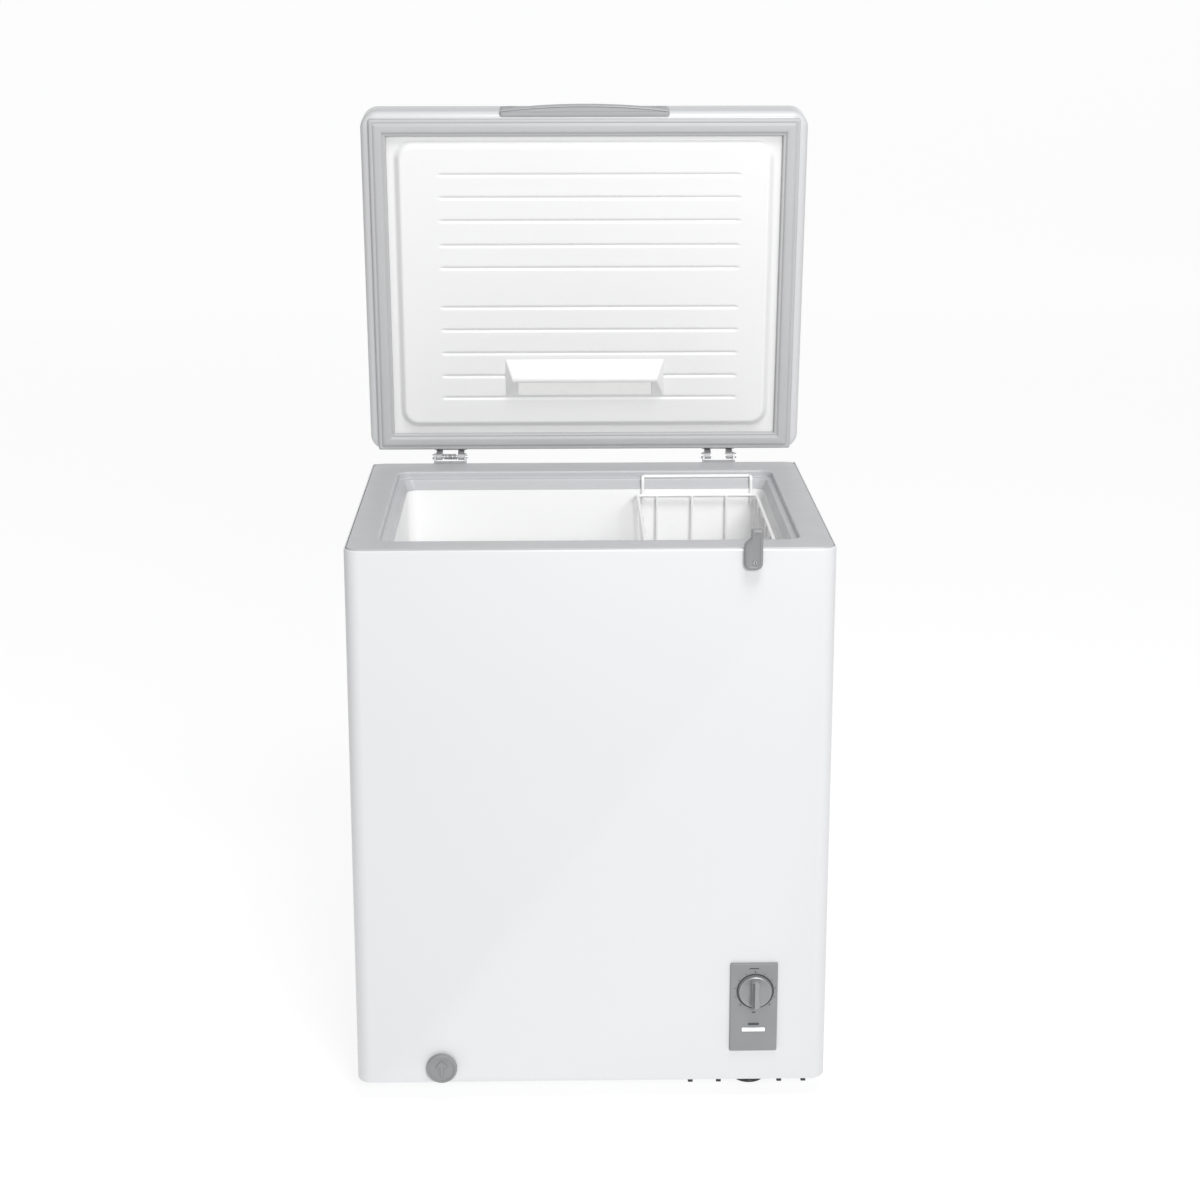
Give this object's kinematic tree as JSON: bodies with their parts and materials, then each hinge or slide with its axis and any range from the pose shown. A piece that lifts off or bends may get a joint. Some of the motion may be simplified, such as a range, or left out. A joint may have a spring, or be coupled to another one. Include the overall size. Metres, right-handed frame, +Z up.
{
  "type": "chest freezer",
  "caption": "Compact white chest freezer with a hinged insulated lid, grey top frame, hanging wire basket, thermostat dial, lid lock and a turnable front drain.",
  "frame": {"origin": "on the floor under the middle of the open freezer's bounding box", "axes": "+Z up along the height, +X to the right of someone facing the freezer, -Y out of its front"},
  "size_m": [0.636, 0.5953, 1.2968],
  "materials": {
    "white_paint": "satin",
    "white_plastic": "satin",
    "coated_wire": "satin",
    "grey_plastic": "satin",
    "gasket": "satin",
    "foam": "matte",
    "galvanised": "satin",
    "hinge_steel": "satin",
    "bare_steel": "satin",
    "coil_aluminium": "satin",
    "coil_steel": "satin",
    "compressor_black": "satin",
    "copper": "satin",
    "rubber": "matte",
    "rubber_grey": "matte",
    "black_plastic": "satin",
    "beige_plastic": "satin",
    "lens": "satin",
    "board": "satin"
  },
  "bodies": {
    "cabinet": {"outer_shell": "white_paint", "back_panel": "white_paint", "floor_pan": "galvanised", "cabinet_foam": "foam", "inner_liner": "white_plastic", "top_frame": "grey_plastic", "evaporator_coil": "coil_aluminium", "condenser_coil": "coil_steel", "compressor_tray": "galvanised", "compressor_base": "bare_steel", "grommet_1": "rubber", "grommet_2": "rubber", "grommet_3": "rubber", "grommet_4": "rubber", "compressor": "compressor_black", "relay_cover": "black_plastic", "filter_drier": "copper", "discharge_pipe": "copper", "suction_pipe": "copper", "side_vent_grille": "grey_plastic", "machine_cover": "white_paint", "cord_gland": "black_plastic", "foot_front_left": "rubber", "foot_back_left": "rubber", "foot_front_right": "rubber", "foot_back_right": "rubber", "control_panel": "grey_plastic", "indicator_lens": "lens", "thermostat_body": "beige_plastic", "sensor_tube": "copper", "lock_housing": "grey_plastic", "drain_sleeve": "white_plastic", "drain_riser": "white_plastic", "hinge_base_left": "hinge_steel", "hinge_base_right": "hinge_steel", "hinge_pin_left": "bare_steel", "hinge_pin_right_inner": "bare_steel", "hinge_pin_right_outer": "bare_steel", "hinge_spring_left": "bare_steel"},
    "lid": {"lid_outer_shell": "white_paint", "lid_foam": "foam", "lid_liner": "white_plastic", "lid_gasket": "gasket", "lid_handle": "grey_plastic", "lamp_housing": "white_plastic", "lamp_lens": "lens", "lamp_board": "board", "hinge_arm_left": "hinge_steel", "hinge_arm_right": "hinge_steel"},
    "knob": {"thermostat_knob": "grey_plastic", "knob_shaft": "bare_steel"},
    "lock_barrel": {"lock_barrel": "bare_steel"},
    "drain_spout": {"drain_spout": "white_plastic"},
    "drain_cap": {"drain_cap": "grey_plastic"},
    "drain_plug": {"drain_plug": "rubber_grey"},
    "basket": {"basket": "coated_wire", "basket_bail_front": "coated_wire", "basket_bail_back": "coated_wire"}
  },
  "joints": [
    {"name": "lid_hinge", "type": "hinge", "parent": "cabinet", "child": "lid", "pos_m": [0, 0.2407, 0.776], "axis": [1, 0, 0], "range_deg": [0, 83]},
    {"name": "thermostat_turn", "type": "hinge", "parent": "cabinet", "child": "knob", "pos_m": [0.2186, -0.2763, 0.159], "axis": [0, -1, 0], "range_deg": [-135, 135]},
    {"name": "lock_turn", "type": "hinge", "parent": "cabinet", "child": "lock_barrel", "pos_m": [0.2085, -0.2763, 0.7515], "axis": [0, -1, 0], "range_deg": [-90, 0]},
    {"name": "drain_pull", "type": "slide", "parent": "cabinet", "child": "drain_spout", "axis": [0, -1, 0], "range_m": [0, 0.025]},
    {"name": "drain_turn", "type": "hinge", "parent": "drain_spout", "child": "drain_cap", "pos_m": [-0.2007, -0.2763, 0.051], "axis": [0, -1, 0], "range_deg": [0, 180]},
    {"name": "plug_lift", "type": "slide", "parent": "cabinet", "child": "drain_plug", "axis": [0, 0, 1], "range_m": [0, 0.06]},
    {"name": "basket_slide", "type": "slide", "parent": "cabinet", "child": "basket", "axis": [1, 0, 0], "range_m": [-0.325, 0]}
  ]
}
